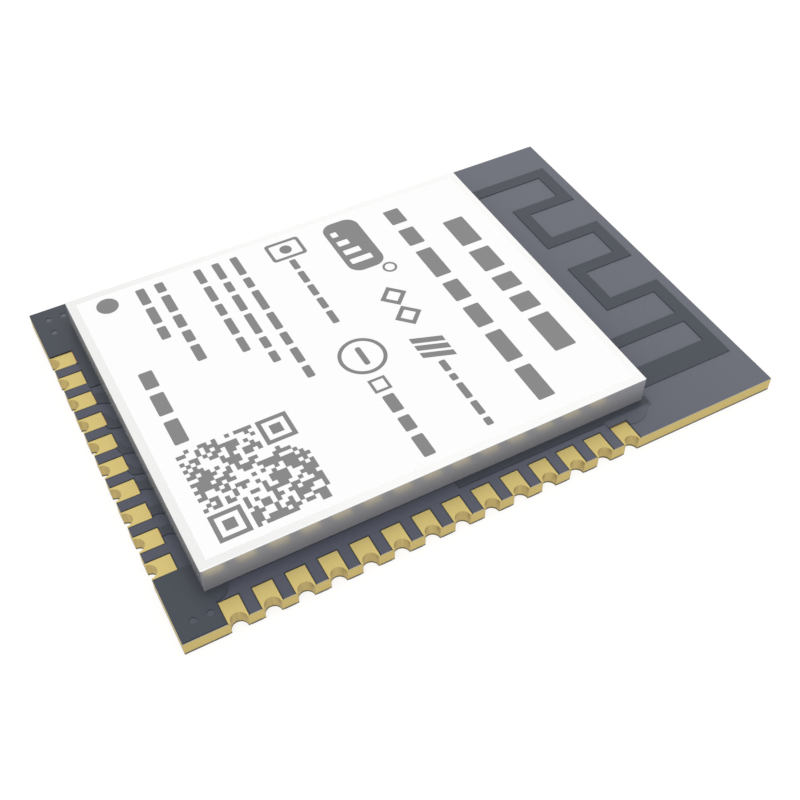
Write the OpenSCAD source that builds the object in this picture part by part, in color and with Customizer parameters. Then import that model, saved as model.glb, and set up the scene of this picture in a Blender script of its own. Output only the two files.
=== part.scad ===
// Surface-mount wireless module: a small board with a printed antenna at one end, plated
// half-round contacts along the other three sides, and a metal can over the circuit.
// X runs across the board, +Y points to the antenna end, +Z up. The origin is the centre of
// the underside. Millimetres.

/* [Board] */
// Width of the board, across its two long rows of contacts
board_w = 18; // [16.2:0.1:20]
// Length of the board, from the contact end to the antenna end
board_l = 25.5; // [23:0.1:28]
// Thickness of the bare laminate
core_t = 0.56; // [0.4:0.02:1.2]
// Thickness of the etched copper on each face
copper_t = 0.035; // [0.018:0.001:0.05]
// Thickness of the top solder mask, over laminate and copper alike
mask_t = 0.05; // [0.04:0.005:0.08]
// Thickness of the bottom solder mask where it covers copper
under_mask_t = 0.015; // [0.01:0.005:0.04]
// How far the mask wraps down beside a copper edge
mask_wrap = 0.05; // [0.02:0.01:0.06]
// Gap between a bare pad and the edge of its mask opening
mask_gap = 0.02; // [0.01:0.005:0.03]

/* [Contacts] */
// Contacts in each long row
side_count = 14; // [10:1:14]
// Contacts in the row across the contact end
end_count = 10; // [6:1:10]
// Distance from the antenna end to the first contact of each long row
first_contact = 6.94; // [6.8:0.01:7.2]
// Distance from the contact end to the last contact of each long row
last_contact = 2.05; // [1.9:0.01:2.2]
// Distance from the board's side to the first contact of the end row
end_contact_side = 3.285; // [3.1:0.005:3.5]
// Width of a contact pad along the edge
contact_w = 0.76; // [0.72:0.01:0.9]
// Length of a contact pad, from the edge inwards
contact_l = 0.94; // [0.6:0.02:1]
// Radius of the half-round notch inside its plating
notch_r = 0.31; // [0.2:0.01:0.32]
// Thickness of the plating that lines a notch
lining_t = 0.035; // [0.02:0.005:0.035]

/* [Antenna] */
// Width of the antenna track
antenna_w = 0.48; // [0.3:0.02:0.6]
// Distance from the board's end to the antenna
antenna_margin = 0.53; // [0.3:0.01:0.7]
// Depth of the meander, measured over the tracks
meander_l = 2.96; // [2.4:0.02:3.2]
// Distance from the board's side to the middle of the open leg
open_leg_x = 2.1; // [1.8:0.02:2.2]
// Length of the open leg, the meander's free end
open_leg_l = 4.2; // [3:0.1:4.4]
// Distance from the board's other side to the middle of the grounded leg
ground_leg_side = 2.56; // [2.3:0.02:2.7]
// How much wider the steps joined nearer the can are than those joined at the board's end
inner_extra = 0.3; // [0:0.02:0.4]
// How much narrower the steps each side of the feed leg are
feed_less = 0.05; // [0:0.01:0.2]
// Width of the grounded leg
ground_leg_w = 0.94; // [0.6:0.02:1]

/* [Shield can] */
// Distance from the board's side to the can, before the can is shifted
shield_side = 1.46; // [1.36:0.01:1.56]
// Distance from the board's contact end to the can
shield_end = 1.43; // [1.3:0.01:1.5]
// Distance from the can to the board's antenna end
antenna_l = 5.33; // [5.2:0.01:5.5]
// Height of the can, from its lower edge to its top
shield_h = 1.22; // [1.2:0.02:2.6]
// Thickness of the sheet
sheet_t = 0.15; // [0.1:0.01:0.16]
// Outside radius of the folded edges
fold_r = 0.05; // [0.02:0.01:0.08]
// How far the can stands off the board's middle line, across the board
shield_shift = -0.11; // [-0.2:0.01:0.1]

/* [Ground copper] */
// Width of the ground frame below the can's wall
frame_w = 0.9; // [0.5:0.05:1]
// How far the ground frame stays inside the can's outer face
frame_inset = 0.05; // [0.03:0.01:0.07]
// Gap each side of the feed leg where it crosses the ground frame
feed_gap = 0.3; // [0.2:0.05:0.4]
// Distance from the ground copper to the board's edges
pour_margin = 0.08; // [0.06:0.01:0.1]
// Distance from the ground copper to a contact that it doesn't feed
pour_gap = 0.08; // [0.06:0.01:0.1]
// Width of the ground strip that shows beside the can
strip_w = 0.29; // [0.2:0.01:0.3]
// Length of the ground strip beside the can
strip_l = 8.76; // [6:0.02:9]
// How far the ground strip runs past the can, towards the antenna
strip_past = 0.14; // [0.1:0.01:0.3]
// Radius of the ground copper beside the first contact of a long row
patch_r = 0.95; // [0.8:0.05:1]
// How far that copper reaches out past the contact's inner end
patch_side = 0.2; // [0.1:0.02:0.4]
// How far its middle lies past the contact's flank
patch_back = 0.35; // [0.2:0.05:0.5]
// How far the right corner's ground copper runs on beside the can, past the last contact's flank
tongue_l = 0.56; // [0.2:0.02:0.6]
// How far the left corner's ground copper runs along the end row, from its first contact
pour_reach = 1.95; // [1.8:0.05:2]
// Side of the square ground pad on the underside
ground_pad_w = 5; // [4.4:0.1:5.4]
// Distance from the bottom ground copper to the contacts
under_gap = 0.25; // [0.15:0.01:0.4]

/* [Vias] */
// Radius of a via's open bore
via_r = 0.1; // [0.075:0.005:0.12]
// Thickness of a via's plated wall
via_t = 0.025; // [0.015:0.005:0.03]
// Radius of the dimple where the mask sags over a via
dimple_r = 0.14; // [0.1:0.01:0.16]
// Depth of that dimple
dimple_d = 0.03; // [0.01:0.005:0.03]
// Distance from the board's side to the corner vias
via_side = 0.68; // [0.5:0.02:0.8]
// Distance from the board's contact end to the corner vias
via_end = 0.65; // [0.5:0.01:0.7]
// Distance from the last contact's flank to the corner via beside it
via_flank = 0.38; // [0.28:0.01:0.4]
// Distance between the two vias along the contact end, in the left corner
via_step = 0.84; // [0.6:0.02:1.2]
// Distance between the vias below the radio chip
thermal_pitch = 1.3; // [1:0.05:1.4]

/* [Circuit parts] */
// Side of the square radio chip
chip_w = 6; // [5.6:0.1:6]
// Height of the radio chip
chip_h = 0.85; // [0.7:0.05:0.9]
// Pads along each side of the radio chip
chip_pads = 12; // [8:1:12]
// Length of the flash memory, across the board
flash_w = 6; // [5:0.1:6]
// Width of the flash memory, along the board
flash_l = 5; // [4.5:0.1:5]
// Height of the flash memory
flash_h = 0.75; // [0.6:0.05:0.8]
// Width of the crystal
crystal_w = 2.5; // [2:0.1:2.5]
// Length of the crystal
crystal_l = 3.2; // [2.5:0.1:3.2]
// Height of the crystal's ceramic base
crystal_base_h = 0.45; // [0.3:0.05:0.5]
// Height of the crystal's metal lid
crystal_lid_h = 0.2; // [0.1:0.05:0.3]
// Length of a chip capacitor, resistor or inductor
chip_part_l = 1; // [0.8:0.05:1]
// Width and height of a chip capacitor, resistor or inductor
chip_part_w = 0.5; // [0.4:0.02:0.5]
// Length of the metal cap on each end of such a part
end_cap_l = 0.25; // [0.2:0.01:0.3]
// Thickness of the metal cap's walls
end_cap_t = 0.03; // [0.02:0.005:0.04]
// How far a copper land runs out beyond the pad or cap that stands on it
land_toe = 0.12; // [0.05:0.01:0.15]
// Thickness of the chips' metal pads
lead_t = 0.2; // [0.1:0.02:0.25]

/* [Hidden] */
// Overshoot of a cut beyond the face that it opens
cut = 0.02;
$fn = 48;

// Levels, from the underside up
z_core = under_mask_t + copper_t;
z_top = z_core + core_t;
z_land = z_top + copper_t;
z_raised = z_land + mask_t;

// Contacts: long rows first to last from the antenna end, numbered anticlockwise from above
contact_count = 2*side_count + end_count;
hole_r = notch_r + lining_t;
side_pitch = (board_l - first_contact - last_contact)/(side_count - 1);
end_pitch = (board_w - 2*end_contact_side)/(end_count - 1);
function side_y(i) = board_l/2 - first_contact - i*side_pitch;
function end_x(i) = end_contact_side - board_w/2 + i*end_pitch;
// Where contact i stands on the board's edge, and the way its row faces
function contact_spot(i) =
    i < side_count ? [-board_w/2, side_y(i), 180] :
    i < side_count + end_count ? [end_x(i - side_count), -board_l/2, -90] :
    [board_w/2, side_y(contact_count - 1 - i), 0];
function contact_name(i) = str("contact_", i < 9 ? "0" : "", i + 1);
// Inner ends of the contacts, and the outer flanks of the last and the end contacts
inner_x = board_w/2 - contact_l;
inner_y = -board_l/2 + contact_l;
last_flank_y = side_y(side_count - 1) - contact_w/2;
end_flank_x = end_x(end_count - 1) + contact_w/2;

// Shield can
shield_w = board_w - 2*shield_side;
shield_l = board_l - shield_end - antenna_l;
shield_x0 = shield_shift - shield_w/2;
shield_x1 = shield_shift + shield_w/2;
shield_y0 = -board_l/2 + shield_end;
shield_y1 = shield_y0 + shield_l;
can_mid = [shield_shift, shield_y0 + shield_l/2];

// Antenna legs and bars
antenna_y = board_l/2 - antenna_margin;
meander_y = antenna_y - meander_l;
antenna_span = board_w - open_leg_x - ground_leg_side;
outer_step = (antenna_span - 2*inner_extra + 2*feed_less)/6;
inner_step = outer_step + inner_extra;
meander_x = [0, outer_step, outer_step + inner_step, 2*outer_step + inner_step,
    2*outer_step + 2*inner_step];
leg_x = [for (step = meander_x) -board_w/2 + open_leg_x + step];
feed_x = leg_x[4] + outer_step - feed_less;
ground_leg_x = feed_x + outer_step - feed_less;

// Stitching vias at the two corners of the contact end, on [x, y] of their own
via_hole_r = via_r + via_t;
left_via_x = via_side - board_w/2;
right_via_x = board_w/2 - via_side;
low_via_y = via_end - board_l/2;
high_via_y = last_flank_y - via_flank;
stitching_vias = [[left_via_x, low_via_y], [left_via_x + via_step, low_via_y],
    [left_via_x, high_via_y], [right_via_x, low_via_y], [right_via_x, high_via_y]];

// Radio chip: its middle from the can's middle and antenna end, its pads and its paddle
chip_left = 0.5;
chip_back = 6.62;
chip_at = [shield_shift - chip_left, shield_y1 - chip_back];
chip_pad_inset = 0.8;
chip_pad_pitch = (chip_w - 2*chip_pad_inset)/(chip_pads - 1);
chip_pad_w = 0.2;
chip_pad_l = 0.4;
chip_paddle_inset = 0.9;
chip_paddle_w = chip_w - 2*chip_paddle_inset;

// Flash memory: its middle from the can's middle and contact end, its pads and its paddle
flash_left = 2.5;
flash_front = 3.7;
flash_at = [shield_shift - flash_left, shield_y0 + flash_front];
flash_pads = 4;
flash_pad_inset = 0.595;
flash_pad_pitch = (flash_l - 2*flash_pad_inset)/(flash_pads - 1);
flash_pad_w = 0.4;
flash_pad_l = 0.6;
flash_paddle_end = 1.3;
flash_paddle_inset = 0.5;
flash_paddle = [flash_w - 2*flash_paddle_end, flash_l - 2*flash_paddle_inset];

// Crystal: its middle from the can's side and the chip's middle, its lid and its lands
crystal_inset = 2.54;
crystal_lower = 2.4;
crystal_at = [shield_x1 - crystal_inset, chip_at[1] - crystal_lower];
lid_inset = 0.15;
lid_r = 0.3;
crystal_land_w = 0.9;
crystal_land_l = 1.1;

// Chip capacitors, resistors and inductors, in rows of one step; each spot is [x, y, turn]
row_step = 1;
// The column beside the radio chip: its gap to the chip, and how far up it starts
column_gap = 1.4;
column_offset = 2.6;
column_x = chip_at[0] - chip_w/2 - column_gap;
// The row behind the chip: its gap to the chip, and how far left it starts
row_gap = 1.2;
row_left = 2.4;
row_x = chip_at[0] - row_left;
row_y = chip_at[1] + chip_w/2 + row_gap;
// The crystal's two load capacitors
load_step = 1.7;
load_gap = 1;
load_y = crystal_at[1] - crystal_l/2 - load_gap;
// The flash memory's capacitors and the resistors beside it
supply_drop = 0.2;
pull_gap = 2;
pull_offset = 0.8;
pull_x = flash_at[0] + flash_w/2 + pull_gap;
// The antenna's matching parts, behind the can's wall where the feed leg comes in
match_back = 2.4;
match_y = shield_y1 - match_back;
shunt_step = 1.25;
rf_track_w = 0.3;
rf_pad_y = chip_at[1] + 2.5*chip_pad_pitch;
capacitor_spots = concat(
    [for (i = [0:4]) [column_x, chip_at[1] + column_offset - i*row_step, 0]],
    [for (i = [0:1]) [row_x + i*row_step, row_y, 90]],
    [for (side = [-1, 1]) [crystal_at[0] + side*load_step/2, load_y, 0]],
    [for (i = [0:1]) [crystal_at[0], flash_at[1] - supply_drop - i*row_step, 0]],
    [[feed_x + shunt_step, match_y, 90]]);
resistor_spots = [for (i = [0:3]) [pull_x, flash_at[1] + pull_offset - i*row_step, 0]];
inductor_spots = concat([[feed_x, match_y, 90]],
    [for (i = [2:3]) [row_x + i*row_step, row_y, 90]]);
passive_spots = concat(capacitor_spots, resistor_spots, inductor_spots);

// Short tracks from the end row's contacts to the can. Each leaves the contact's inner end
// off its middle, runs aside to a bend and goes straight on below the can's wall.
thin_track = 0.18;
track_w = 0.3;
wide_track = 0.45;
// Steps aside and inwards that the tracks share
aside = 0.12;
bend_in = 0.15;
// Each track: contact, steps aside at its start and at its bend, steps in, width
end_tracks = [
    [2, 1, 2, 2, wide_track],
    [3, 0, 4, 1, track_w],
    [4, 2, 6, 1, thin_track],
    [5, 2, 5, 1, thin_track],
    [6, 0, 1, 2, track_w],
    [7, 1, 1, 2, track_w],
    [8, -1, -1, 2, track_w]];

CONTACTS = [for (i = [0:contact_count - 1]) contact_name(i)];

// ---- Helpers -------------------------------------------------------------------------

// A flat rectangle between two corners, grown by the same amount all round
module bar(p, q, grow = 0)
    translate([p[0] - grow, p[1] - grow])
        square([q[0] - p[0] + 2*grow, q[1] - p[1] + 2*grow]);

// A flat rectangle about its middle
module plate(mid, size, grow = 0)
    translate(mid) square([size[0] + 2*grow, size[1] + 2*grow], center = true);

// A flat track with round ends
module track(p, q, w, grow = 0) {
    run = q - p;
    translate(p) rotate(atan2(run[1], run[0])) translate([0, -w/2 - grow])
        square([norm(run), w + 2*grow]);
    for (end = [p, q]) translate(end) circle(w/2 + grow, $fn = 24);
}

// A layer of the board: a flat shape given a level and a thickness
module layer(z, t) translate([0, 0, z]) linear_extrude(t) children();

// Places its children at a spot given as [x, y, turn]
module at(spot) translate([spot[0], spot[1]]) rotate(spot[2]) children();

// Places its children on the board's edge at every contact
module at_contacts() for (i = [0:contact_count - 1]) at(contact_spot(i)) children();

// Places its children at every via
module at_vias() {
    at_stitching_vias() children();
    at_thermal_vias() children();
}
module at_stitching_vias() for (spot = stitching_vias) translate(spot) children();
module at_thermal_vias()
    for (i = [-1:1], j = [-1:1])
        translate(chip_at + [i, j]*thermal_pitch) children();

// ---- Flat outlines of the board's layers --------------------------------------------

module board_plan() square([board_w, board_l], center = true);

// The meander with its feed leg and its grounded leg
module antenna_plan(grow = 0) {
    half = antenna_w/2;
    // Open leg
    bar([leg_x[0] - half, antenna_y - open_leg_l], [leg_x[0] + half, antenna_y], grow);
    // Legs of the meander
    for (i = [1:4]) bar([leg_x[i] - half, meander_y], [leg_x[i] + half, antenna_y], grow);
    // Bars at the board's end
    for (i = [0, 2])
        bar([leg_x[i] - half, antenna_y - antenna_w], [leg_x[i + 1] + half, antenna_y], grow);
    bar([leg_x[4] - half, antenna_y - antenna_w],
        [ground_leg_x + ground_leg_w/2, antenna_y], grow);
    // Bars nearer the can
    for (i = [1, 3])
        bar([leg_x[i] - half, meander_y], [leg_x[i + 1] + half, meander_y + antenna_w], grow);
    // Feed leg, under the can's wall to the matching parts
    bar([feed_x - half, match_y + land_end()], [feed_x + half, antenna_y], grow);
    // Grounded leg, to the ground frame
    bar([ground_leg_x - ground_leg_w/2, shield_y1 - frame_inset],
        [ground_leg_x + ground_leg_w/2, antenna_y], grow);
}

// The frame below the can's wall, open where the feed leg crosses it
module frame_plan(grow = 0) difference() {
    bar([shield_x0 + frame_inset, shield_y0 + frame_inset],
        [shield_x1 - frame_inset, shield_y1 - frame_inset], grow);
    bar([shield_x0 + frame_inset + frame_w, shield_y0 + frame_inset + frame_w],
        [shield_x1 - frame_inset - frame_w, shield_y1 - frame_inset - frame_w], -grow);
    bar([feed_x - antenna_w/2 - feed_gap, shield_y1 - frame_inset - frame_w - feed_gap],
        [feed_x + antenna_w/2 + feed_gap, shield_y1 + feed_gap], -grow);
}

// Ground copper at the left corner of the contact end, up to the row's first contact
module left_pour_plan(grow = 0) {
    bar([-board_w/2 + pour_margin, -board_l/2 + pour_margin],
        [-end_flank_x - pour_gap, shield_y0 + frame_inset], grow);
    bar([-end_flank_x - pour_gap, inner_y + pour_gap],
        [end_x(0) + pour_reach, shield_y0 + frame_inset], grow);
    // Lead into the row's first contact, which is a ground contact
    bar([end_x(0) - contact_w/2, inner_y], [end_x(0) + contact_w/2, inner_y + pour_gap], grow);
    bar([-board_w/2 + pour_margin, -board_l/2 + pour_margin],
        [shield_x0 + frame_inset, last_flank_y - pour_gap], grow);
}

// Ground copper at the right corner of the contact end
module right_pour_plan(grow = 0) {
    bar([end_flank_x + pour_gap, -board_l/2 + pour_margin],
        [board_w/2 - pour_margin, shield_y0 + frame_inset], grow);
    bar([shield_x1 - frame_inset, -board_l/2 + pour_margin],
        [board_w/2 - pour_margin, last_flank_y - pour_gap], grow);
    // Tongue with a round end, between the can and the last contact
    intersection() {
        bar([shield_x1 - frame_inset, shield_y0], [inner_x - pour_gap, board_l/2], grow);
        translate([shield_x1 - frame_inset, last_flank_y]) circle(tongue_l + grow);
    }
}

// Ground strip beside the can, square at both ends
module strip_plan(grow = 0)
    bar([shield_x1 - frame_inset, shield_y1 + strip_past - strip_l],
        [shield_x1 + strip_w, shield_y1 + strip_past], grow);

// Ground copper that leads into the first contact of a long row, with a round corner
module patch_plan(side, grow = 0) {
    wall = side > 0 ? shield_x1 - frame_inset : -shield_x0 - frame_inset;
    mirror([side > 0 ? 0 : 1, 0, 0]) intersection() {
        union() {
            bar([wall, side_y(0) - contact_w/2], [inner_x, side_y(0) + contact_w/2], grow);
            translate([inner_x + patch_side - patch_r, side_y(0) + contact_w/2 + patch_back])
                circle(patch_r + grow);
        }
        bar([wall, side_y(0) - contact_w/2], [board_w/2 - pour_margin, shield_y1], grow);
        difference() {
            bar([wall, side_y(0) - contact_w/2], [board_w/2, shield_y1], grow);
            bar([inner_x, side_y(0) - board_l], [board_w, side_y(0) + contact_w/2 + pour_gap],
                -grow);
        }
    }
}

module top_ground_plan(grow = 0) {
    frame_plan(grow);
    left_pour_plan(grow);
    right_pour_plan(grow);
    strip_plan(grow);
    for (side = [-1, 1]) patch_plan(side, grow);
}

// Tracks from the end row's contacts under the can, and the feed's track to the chip
module track_plan(grow = 0) {
    for (t = end_tracks) if (t[0] < end_count) {
        start = [end_x(t[0]) + t[1]*aside, inner_y];
        bend = [end_x(t[0]) + t[2]*aside, inner_y + t[3]*bend_in];
        track(start, bend, t[4], grow);
        track(bend, [bend[0] + aside, shield_y0 + sheet_t/2], t[4], grow);
    }
}

module rf_track_plan(grow = 0) {
    bar([feed_x - rf_track_w/2, rf_pad_y - rf_track_w/2],
        [feed_x + rf_track_w/2, match_y - land_end()], grow);
    bar([chip_at[0] + chip_w/2 + land_toe, rf_pad_y - rf_track_w/2],
        [feed_x - rf_track_w/2, rf_pad_y + rf_track_w/2], grow);
}

module top_copper_plan(grow = 0) {
    antenna_plan(grow);
    top_ground_plan(grow);
    track_plan(grow);
    rf_track_plan(grow);
}

// One contact pad, from the edge inwards along -X of its own spot
module contact_plan(grow = 0)
    bar([-contact_l, -contact_w/2], [0, contact_w/2], grow);

// ---- Board ---------------------------------------------------------------------------

module laminate() color("#c8b268")
    layer(z_core, core_t) difference() {
        board_plan();
        at_contacts() circle(hole_r);
        at_vias() circle(via_hole_r);
    }

// The mask follows the copper below it, so every track stands up as a low ridge
module top_solder_mask() color("#565c67")
    difference() {
        union() {
            layer(z_top, mask_t) board_plan();
            layer(z_top, copper_t + mask_t) intersection() {
                board_plan();
                top_copper_plan(mask_wrap);
            }
        }
        layer(z_top - cut, cut + copper_t) top_copper_plan();
        layer(z_top - cut, cut + copper_t + mask_t + cut) {
            at_contacts() contact_plan(mask_gap);
            shield_solder_plan();
            part_windows_plan();
        }
        at_stitching_vias() translate([0, 0, z_raised - dimple_d])
            cylinder(r = dimple_r, h = dimple_d + cut);
    }

module bottom_solder_mask() color("#474c56")
    difference() {
        layer(0, z_core) board_plan();
        layer(under_mask_t, copper_t + cut) bottom_copper_plan();
        layer(-cut, z_core + 2*cut) {
            at_contacts() contact_plan(mask_gap);
            plate(chip_at, [ground_pad_w, ground_pad_w], mask_gap);
        }
    }

module antenna_trace() color("#b87f4a") layer(z_top, copper_t) antenna_plan();

module top_ground_copper() color("#b87f4a")
    layer(z_top, copper_t) difference() {
        top_ground_plan();
        at_stitching_vias() circle(via_hole_r);
    }

module signal_copper() color("#b87f4a")
    layer(z_top, copper_t) {
        difference() {
            track_plan();
            at_contacts() contact_plan();
            top_ground_plan();
        }
        rf_track_plan();
        difference() {
            lands_plan();
            at_thermal_vias() circle(via_hole_r);
        }
    }

// Ground copper below the circuit, kept away from the antenna and the contacts
module bottom_copper_plan() {
    bar([under_gap - inner_x, inner_y + under_gap], [inner_x - under_gap, shield_y1]);
    for (side = [0, 1]) mirror([side, 0])
        bar([end_flank_x + under_gap, -board_l/2 + under_gap],
            [board_w/2 - under_gap, last_flank_y - pour_gap]);
}

module bottom_ground_copper() color("#b87f4a")
    layer(under_mask_t, copper_t) difference() {
        bottom_copper_plan();
        plate(chip_at, [ground_pad_w, ground_pad_w]);
        at_stitching_vias() circle(via_hole_r);
    }

module ground_pad() color("#d2bf72")
    layer(under_mask_t, copper_t) difference() {
        plate(chip_at, [ground_pad_w, ground_pad_w]);
        at_thermal_vias() circle(via_hole_r);
    }

module plated_vias() color("#c9a85c")
    layer(under_mask_t, z_land - under_mask_t) at_vias() difference() {
        circle(via_hole_r);
        circle(via_r);
    }

// A plated contact: a pad on each face, joined by the lining of its half-round notch
module contact(i) color("#d2bf72")
    at(contact_spot(i)) difference() {
        union() {
            for (z = [under_mask_t, z_top]) layer(z, copper_t) contact_plan();
            layer(under_mask_t, z_land - under_mask_t) intersection() {
                circle(hole_r);
                bar([-board_w/2, -contact_w/2], [0, contact_w/2]);
            }
        }
        layer(under_mask_t - cut, z_land + 2*cut) circle(notch_r);
    }

// ---- Shield can ----------------------------------------------------------------------

// A rectangle with round corners; the two lower ones are square where lift is given
module rounded_plan(w, h, r, square_low = false) {
    for (sx = [-1, 1], sy = [-1, 1]) translate([sx*(w/2 - r), sy*(h/2 - r)]) circle(r);
    square([w - 2*r, h], center = true);
    square([w, h - 2*r], center = true);
    if (square_low) translate([-w/2, -h/2]) square([w, h/2]);
}

// The outside of the folded can: round upright corners and a round fold along the top
module shield_block() intersection() {
    translate([can_mid[0], can_mid[1], z_raised])
        linear_extrude(shield_h) rounded_plan(shield_w, shield_l, fold_r);
    translate([can_mid[0], shield_y1 + cut, z_raised + shield_h/2]) rotate([90, 0, 0])
        linear_extrude(shield_l + 2*cut) rounded_plan(shield_w, shield_h, fold_r, true);
    translate([shield_x0 - cut, can_mid[1], z_raised + shield_h/2]) rotate([90, 0, 90])
        linear_extrude(shield_w + 2*cut) rounded_plan(shield_l, shield_h, fold_r, true);
}

module shield_can() color("#c3c4c6")
    difference() {
        shield_block();
        layer(z_raised - cut, shield_h - sheet_t + cut)
            plate(can_mid, [shield_w - 2*sheet_t, shield_l - 2*sheet_t]);
    }

// The solder between the ground frame and the can's lower edge
module shield_solder_plan() intersection() {
    frame_plan();
    difference() {
        plate(can_mid, [shield_w, shield_l]);
        plate(can_mid, [shield_w - 2*sheet_t, shield_l - 2*sheet_t]);
    }
}

module shield_solder() color("#9a9ca0") layer(z_land, mask_t) shield_solder_plan();

// ---- Circuit parts below the can -----------------------------------------------------

// Half the length of a chip part's land pattern
function land_end() = chip_part_l/2 + land_toe;

// Pads of a square chip, all round; toe makes them longer, for the lands
module square_pads_plan(toe = 0)
    translate(chip_at) for (turn = [0:90:270], i = [0:chip_pads - 1]) rotate(turn)
        bar([chip_w/2 - chip_pad_l, (i - (chip_pads - 1)/2)*chip_pad_pitch - chip_pad_w/2],
            [chip_w/2 + toe, (i - (chip_pads - 1)/2)*chip_pad_pitch + chip_pad_w/2]);

module flash_pads_plan(toe = 0)
    translate(flash_at) for (turn = [0, 180], i = [0:flash_pads - 1]) rotate(turn)
        bar([flash_w/2 - flash_pad_l,
                (i - (flash_pads - 1)/2)*flash_pad_pitch - flash_pad_w/2],
            [flash_w/2 + toe, (i - (flash_pads - 1)/2)*flash_pad_pitch + flash_pad_w/2]);

// Copper lands below every circuit part
module lands_plan() {
    square_pads_plan(land_toe);
    plate(chip_at, [chip_paddle_w, chip_paddle_w]);
    flash_pads_plan(land_toe);
    plate(flash_at, flash_paddle);
    for (sx = [-1, 1], sy = [-1, 1])
        plate(crystal_at
                + [sx*(crystal_w - crystal_land_w)/2, sy*(crystal_l - crystal_land_l)/2],
            [crystal_land_w, crystal_land_l]);
    for (spot = passive_spots) at(spot) for (turn = [0, 180]) rotate(turn)
        bar([chip_part_l/2 - end_cap_l, -chip_part_w/2], [land_end(), chip_part_w/2]);
}

// Openings of the mask round every circuit part
module part_windows_plan() {
    plate(chip_at, [chip_w, chip_w], land_toe + mask_gap);
    plate(flash_at, [flash_w, flash_l], land_toe + mask_gap);
    plate(crystal_at, [crystal_w, crystal_l], mask_gap);
    for (spot = passive_spots) at(spot)
        plate([0, 0], [2*land_end(), chip_part_w], mask_gap);
}

module radio_chip_body() color("#2b2c2f")
    difference() {
        layer(z_land, chip_h) plate(chip_at, [chip_w, chip_w]);
        layer(z_land - cut, lead_t + cut) {
            square_pads_plan(cut);
            plate(chip_at, [chip_paddle_w, chip_paddle_w]);
        }
    }

module radio_chip_leadframe() color("#b9babd")
    layer(z_land, lead_t) {
        square_pads_plan();
        plate(chip_at, [chip_paddle_w, chip_paddle_w]);
    }

module flash_chip_body() color("#2b2c2f")
    difference() {
        layer(z_land, flash_h) plate(flash_at, [flash_w, flash_l]);
        layer(z_land - cut, lead_t + cut) {
            flash_pads_plan(cut);
            plate(flash_at, flash_paddle);
        }
    }

module flash_chip_leadframe() color("#b9babd")
    layer(z_land, lead_t) {
        flash_pads_plan();
        plate(flash_at, flash_paddle);
    }

module crystal_base() color("#5a4a3c")
    layer(z_land, crystal_base_h) plate(crystal_at, [crystal_w, crystal_l]);

module crystal_lid() color("#d8d5c8")
    layer(z_land + crystal_base_h, crystal_lid_h)
        translate(crystal_at)
            rounded_plan(crystal_w - 2*lid_inset, crystal_l - 2*lid_inset, lid_r);

// The ceramic of a chip part, which its two end caps close over
module part_body() translate([0, 0, z_land + chip_part_w/2])
    cube([chip_part_l - 2*end_cap_t, chip_part_w - 2*end_cap_t, chip_part_w - 2*end_cap_t],
        center = true);

module end_caps() for (turn = [0, 180]) rotate(turn)
    difference() {
        translate([chip_part_l/2 - end_cap_l, -chip_part_w/2, z_land])
            cube([end_cap_l, chip_part_w, chip_part_w]);
        part_body();
    }

module capacitor_bodies() color("#b59a72") for (spot = capacitor_spots) at(spot) part_body();
module resistor_bodies() color("#2f2f33") for (spot = resistor_spots) at(spot) part_body();
module inductor_bodies() color("#8b8f98") for (spot = inductor_spots) at(spot) part_body();
module passive_terminals() color("#b9babd") for (spot = passive_spots) at(spot) end_caps();

// ---- Nodes ---------------------------------------------------------------------------

laminate();
top_solder_mask();
bottom_solder_mask();
antenna_trace();
top_ground_copper();
signal_copper();
bottom_ground_copper();
ground_pad();
plated_vias();
shield_can();
shield_solder();
radio_chip_body();
radio_chip_leadframe();
flash_chip_body();
flash_chip_leadframe();
crystal_base();
crystal_lid();
capacitor_bodies();
resistor_bodies();
inductor_bodies();
passive_terminals();
for (i = [0:contact_count - 1])
    contact(i);
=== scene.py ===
import math

import bmesh
import bpy
from bpy.props import FloatProperty, FloatVectorProperty, IntProperty, PointerProperty
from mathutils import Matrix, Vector


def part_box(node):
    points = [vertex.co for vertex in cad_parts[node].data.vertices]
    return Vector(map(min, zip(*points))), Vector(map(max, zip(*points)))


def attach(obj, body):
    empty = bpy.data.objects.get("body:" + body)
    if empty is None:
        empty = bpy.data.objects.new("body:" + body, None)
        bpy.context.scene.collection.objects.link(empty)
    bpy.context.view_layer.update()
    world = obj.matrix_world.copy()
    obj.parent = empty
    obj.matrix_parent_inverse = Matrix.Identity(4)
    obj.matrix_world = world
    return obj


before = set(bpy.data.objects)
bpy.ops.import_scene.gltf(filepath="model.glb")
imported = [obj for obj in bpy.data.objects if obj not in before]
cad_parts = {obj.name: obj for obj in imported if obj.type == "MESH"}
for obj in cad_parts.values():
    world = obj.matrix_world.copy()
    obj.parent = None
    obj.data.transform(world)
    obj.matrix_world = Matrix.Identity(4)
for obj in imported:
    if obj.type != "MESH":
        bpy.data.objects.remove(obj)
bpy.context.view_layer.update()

bl_info = {
    "name": "Wireless Module Dressing",
    "version": (1, 0, 0),
    "blender": (4, 5, 0),
    "location": "3D View > Sidebar > Module",
    "description": "Finishes, printed label and studio for a shielded surface-mount module",
    "category": "Object",
}

MM = 0.001
BODY = "root"

# What the parts of model.glb say about the places that the finishes and the print depend on
BOARD_LOW, BOARD_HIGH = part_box("laminate")
MASK_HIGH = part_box("top_solder_mask")[1]
CAN_LOW, CAN_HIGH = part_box("shield_can")
CAN_MIDDLE = (CAN_LOW + CAN_HIGH) / 2
FIRST_LOW, FIRST_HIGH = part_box("contact_38")
CONTACTS = sorted(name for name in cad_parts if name.startswith("contact_"))
# First, second and last contact of the long row on the +X side and of the end row
SIDE_ROW = ("contact_25", "contact_26", "contact_38")
END_ROW = ("contact_15", "contact_16", "contact_24")

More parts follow.
